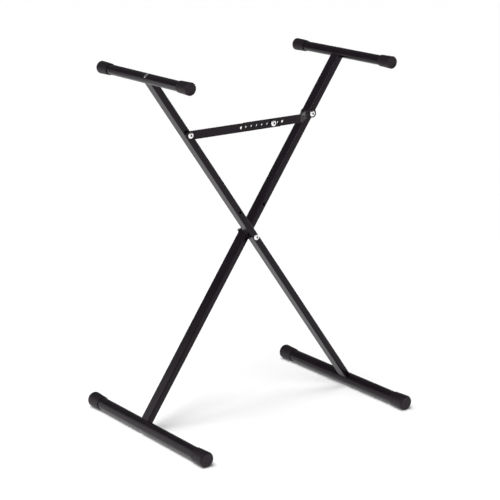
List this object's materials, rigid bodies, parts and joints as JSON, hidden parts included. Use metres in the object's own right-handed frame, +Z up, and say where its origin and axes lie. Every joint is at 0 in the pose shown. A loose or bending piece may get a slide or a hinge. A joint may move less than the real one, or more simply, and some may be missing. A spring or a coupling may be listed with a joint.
{
  "type": "keyboard stand",
  "caption": "Folding X-shaped keyboard stand: crossed tube legs on a pivot, capped arms and feet, and a brace of drilled straps with a lock bolt.",
  "frame": {"origin": "middle of the stand's footprint, on the floor", "axes": "+X to the right across the crossed legs, seen from the bolt-head side; +Y from the bolt-head side to the nut side, along the arms and feet; +Z up"},
  "size_m": [0.6178, 0.48, 0.8477],
  "materials": {
    "black_steel": "semi-gloss black powder coat",
    "zinc": "bright zinc plate",
    "rubber": "satin black moulded rubber",
    "nylon": "matt black",
    "plain_steel": "as cut"
  },
  "bodies": {
    "front_frame": {"front_leg": "black_steel", "front_leg_upper_plug": "plain_steel", "front_leg_lower_plug": "plain_steel", "left_arm": "black_steel", "left_arm_bush": "plain_steel", "left_arm_screw": "zinc", "left_arm_front_cap": "rubber", "left_arm_back_cap": "rubber", "right_foot": "black_steel", "right_foot_bush": "plain_steel", "right_foot_screw": "zinc", "right_foot_front_cap": "rubber", "right_foot_back_cap": "rubber", "pivot_bolt": "zinc", "pivot_spacer": "nylon", "pivot_washer": "zinc", "pivot_nut": "zinc", "front_strap_spacer": "nylon", "front_strap_bolt": "zinc", "front_strap_nut": "zinc"},
    "rear_frame": {"rear_leg": "black_steel", "rear_leg_upper_plug": "plain_steel", "rear_leg_lower_plug": "plain_steel", "right_arm": "black_steel", "right_arm_bush": "plain_steel", "right_arm_screw": "zinc", "right_arm_front_cap": "rubber", "right_arm_back_cap": "rubber", "left_foot": "black_steel", "left_foot_bush": "plain_steel", "left_foot_screw": "zinc", "left_foot_front_cap": "rubber", "left_foot_back_cap": "rubber", "rear_strap_bolt": "zinc", "rear_strap_nut": "zinc"},
    "front_brace": {"front_strap": "black_steel", "lock_washer": "black_steel", "lock_bolt": "zinc"},
    "rear_brace": {"rear_strap": "black_steel", "lock_nut": "zinc", "lock_bolt_end": "zinc"}
  },
  "joints": [
    {"name": "fold", "type": "hinge", "parent": "front_frame", "child": "rear_frame", "pos_m": [0, 0, 0.43341], "axis": [0, -1, 0], "range_deg": [0, 65]},
    {"name": "front_strap_swing", "type": "hinge", "parent": "front_frame", "child": "front_brace", "pos_m": [-0.18584, -0.0359, 0.69881], "axis": [0, -1, 0], "range_deg": [-55, 0]},
    {"name": "rear_strap_swing", "type": "hinge", "parent": "rear_frame", "child": "rear_brace", "pos_m": [0.18584, -0.001, 0.69881], "axis": [0, -1, 0], "range_deg": [0, 55]}
  ],
  "couplings": [
    {"joint": "front_strap_swing", "follows": "fold", "ratio": -0.84615},
    {"joint": "rear_strap_swing", "follows": "fold", "ratio": 0.84615}
  ]
}
